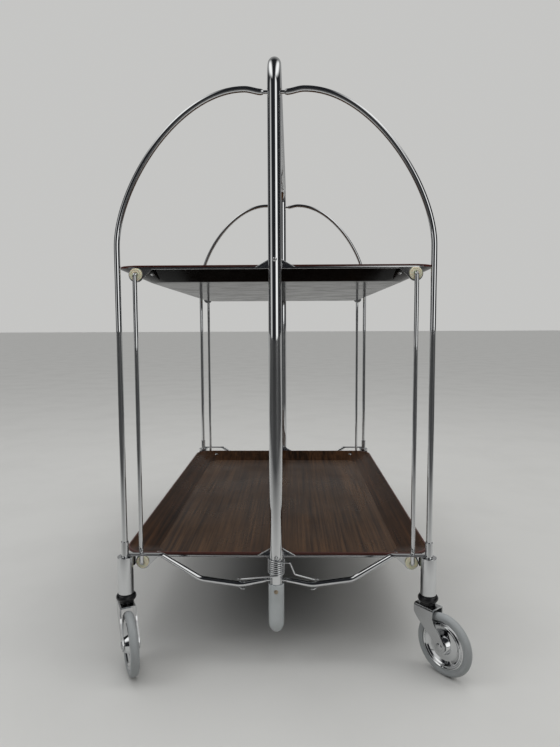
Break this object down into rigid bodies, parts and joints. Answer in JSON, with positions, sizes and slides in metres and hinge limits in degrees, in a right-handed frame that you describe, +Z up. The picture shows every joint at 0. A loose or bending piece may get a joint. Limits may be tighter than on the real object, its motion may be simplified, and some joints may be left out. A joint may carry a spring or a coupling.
{
  "type": "folding serving trolley",
  "caption": "Folding serving trolley: chrome centre frame with a handle, tilting wood-pattern trays joined by link rods, and hinged leg frames on swivel casters.",
  "frame": {"origin": "on the floor under the middle of the trolley", "axes": "+Z up, +Y along the trays from the front end to the rear end, +X across the trays to the right"},
  "size_m": [0.46, 0.7444, 0.745],
  "materials": {
    "chrome": "bright chrome plate on steel",
    "wood_laminate": "semi-gloss moulded tray with a printed dark wood grain",
    "grey_tyre": "matt grey rubber",
    "black_rubber": "satin black rubber",
    "grey_plastic": "satin grey plastic",
    "cream_nylon": "satin cream nylon"
  },
  "bodies": {
    "frame": {"centre_frame": "chrome", "end_cap_front": "grey_plastic", "hinge_core_lower_front": "chrome", "hinge_core_upper_front": "chrome", "tray_pivot_lower_front": "chrome", "tray_pivot_upper_front": "chrome", "spring_front": "chrome", "end_cap_rear": "grey_plastic", "hinge_core_lower_rear": "chrome", "hinge_core_upper_rear": "chrome", "tray_pivot_lower_rear": "chrome", "tray_pivot_upper_rear": "chrome", "spring_rear": "chrome"},
    "upper_tray": {"upper_tray": "wood_laminate", "upper_rail_front": "chrome", "upper_rail_rear": "chrome", "upper_bush_front_left": "cream_nylon", "upper_bush_front_right": "cream_nylon", "upper_bush_rear_right": "cream_nylon", "upper_bush_rear_left": "cream_nylon"},
    "lower_tray": {"lower_tray": "wood_laminate", "lower_rail_front": "chrome", "lower_rail_rear": "chrome", "lower_bush_front_left": "cream_nylon", "lower_bush_front_right": "cream_nylon", "lower_bush_rear_right": "cream_nylon", "lower_bush_rear_left": "cream_nylon"},
    "rod_front_left": {"link_rod_front_left": "chrome"},
    "gate_front_left": {"leg_front_left": "chrome", "foot_bar_front_left": "chrome", "caster_socket_front_left": "chrome", "bumper_ring_front_left": "black_rubber"},
    "caster_front_left": {"fork_front_left": "chrome"},
    "wheel_front_left": {"wheel_disc_front_left": "chrome", "tyre_front_left": "grey_tyre"},
    "rod_front_right": {"link_rod_front_right": "chrome"},
    "gate_front_right": {"leg_front_right": "chrome", "foot_bar_front_right": "chrome", "caster_socket_front_right": "chrome", "bumper_ring_front_right": "black_rubber"},
    "caster_front_right": {"fork_front_right": "chrome"},
    "wheel_front_right": {"wheel_disc_front_right": "chrome", "tyre_front_right": "grey_tyre"},
    "rod_rear_right": {"link_rod_rear_right": "chrome"},
    "gate_rear_right": {"leg_rear_right": "chrome", "foot_bar_rear_right": "chrome", "caster_socket_rear_right": "chrome", "bumper_ring_rear_right": "black_rubber"},
    "caster_rear_right": {"fork_rear_right": "chrome"},
    "wheel_rear_right": {"wheel_disc_rear_right": "chrome", "tyre_rear_right": "grey_tyre"},
    "rod_rear_left": {"link_rod_rear_left": "chrome"},
    "gate_rear_left": {"leg_rear_left": "chrome", "foot_bar_rear_left": "chrome", "caster_socket_rear_left": "chrome", "bumper_ring_rear_left": "black_rubber"},
    "caster_rear_left": {"fork_rear_left": "chrome"},
    "wheel_rear_left": {"wheel_disc_rear_left": "chrome", "tyre_rear_left": "grey_tyre"}
  },
  "joints": [
    {"name": "upper_tray_tilt", "type": "hinge", "parent": "frame", "child": "upper_tray", "pos_m": [0, 0, 0.5005], "axis": [0, 1, 0], "range_deg": [0, 81]},
    {"name": "lower_tray_tilt", "type": "hinge", "parent": "frame", "child": "lower_tray", "pos_m": [0, 0, 0.1395], "axis": [0, 1, 0], "range_deg": [0, 81]},
    {"name": "rod_front_left_swing", "type": "hinge", "parent": "upper_tray", "child": "rod_front_left", "pos_m": [-0.17, -0.3052, 0.4855], "axis": [0, 1, 0], "range_deg": [-81, 0]},
    {"name": "rod_front_right_swing", "type": "hinge", "parent": "upper_tray", "child": "rod_front_right", "pos_m": [0.17, -0.3052, 0.4855], "axis": [0, 1, 0], "range_deg": [-81, 0]},
    {"name": "rod_rear_right_swing", "type": "hinge", "parent": "upper_tray", "child": "rod_rear_right", "pos_m": [0.17, 0.3052, 0.4855], "axis": [0, 1, 0], "range_deg": [-81, 0]},
    {"name": "rod_rear_left_swing", "type": "hinge", "parent": "upper_tray", "child": "rod_rear_left", "pos_m": [-0.17, 0.3052, 0.4855], "axis": [0, 1, 0], "range_deg": [-81, 0]},
    {"name": "gate_front_left_swing", "type": "hinge", "parent": "frame", "child": "gate_front_left", "pos_m": [-0.0035, -0.314, 0.4], "axis": [0, 0, 1], "range_deg": [0, 8], "stiffness_Nm_per_rad": 0.05, "springref_deg": -68.75, "deforming": ["spring_front"]},
    {"name": "caster_front_left_swivel", "type": "hinge", "parent": "gate_front_left", "child": "caster_front_left", "pos_m": [-0.188, -0.314, 0.1], "axis": [0, 0, 1], "continuous": true},
    {"name": "wheel_front_left_spin", "type": "hinge", "parent": "caster_front_left", "child": "wheel_front_left", "pos_m": [-0.17744, -0.33666, 0.0375], "axis": [0.9063, 0.4226, 0], "continuous": true},
    {"name": "gate_front_right_swing", "type": "hinge", "parent": "frame", "child": "gate_front_right", "pos_m": [0.0035, -0.314, 0.4], "axis": [0, 0, -1], "range_deg": [0, 8], "stiffness_Nm_per_rad": 0.05, "springref_deg": -68.75},
    {"name": "caster_front_right_swivel", "type": "hinge", "parent": "gate_front_right", "child": "caster_front_right", "pos_m": [0.188, -0.314, 0.1], "axis": [0, 0, 1], "continuous": true},
    {"name": "wheel_front_right_spin", "type": "hinge", "parent": "caster_front_right", "child": "wheel_front_right", "pos_m": [0.20373, -0.33343, 0.0375], "axis": [0.7771, 0.6293, 0], "continuous": true},
    {"name": "gate_rear_right_swing", "type": "hinge", "parent": "frame", "child": "gate_rear_right", "pos_m": [0.0035, 0.314, 0.4], "axis": [0, 0, 1], "range_deg": [0, 8], "stiffness_Nm_per_rad": 0.05, "springref_deg": -68.75, "deforming": ["spring_rear"]},
    {"name": "caster_rear_right_swivel", "type": "hinge", "parent": "gate_rear_right", "child": "caster_rear_right", "pos_m": [0.188, 0.314, 0.1], "axis": [0, 0, 1], "continuous": true},
    {"name": "wheel_rear_right_spin", "type": "hinge", "parent": "caster_rear_right", "child": "wheel_rear_right", "pos_m": [0.17744, 0.33666, 0.0375], "axis": [-0.9063, -0.4226, 0], "continuous": true},
    {"name": "gate_rear_left_swing", "type": "hinge", "parent": "frame", "child": "gate_rear_left", "pos_m": [-0.0035, 0.314, 0.4], "axis": [0, 0, -1], "range_deg": [0, 8], "stiffness_Nm_per_rad": 0.05, "springref_deg": -68.75},
    {"name": "caster_rear_left_swivel", "type": "hinge", "parent": "gate_rear_left", "child": "caster_rear_left", "pos_m": [-0.188, 0.314, 0.1], "axis": [0, 0, 1], "continuous": true},
    {"name": "wheel_rear_left_spin", "type": "hinge", "parent": "caster_rear_left", "child": "wheel_rear_left", "pos_m": [-0.20373, 0.33343, 0.0375], "axis": [-0.7771, -0.6293, 0], "continuous": true}
  ],
  "couplings": [
    {"joint": "lower_tray_tilt", "follows": "upper_tray_tilt", "ratio": 1},
    {"joint": "rod_front_left_swing", "follows": "upper_tray_tilt", "ratio": -1},
    {"joint": "rod_front_right_swing", "follows": "upper_tray_tilt", "ratio": -1},
    {"joint": "rod_rear_right_swing", "follows": "upper_tray_tilt", "ratio": -1},
    {"joint": "rod_rear_left_swing", "follows": "upper_tray_tilt", "ratio": -1}
  ]
}
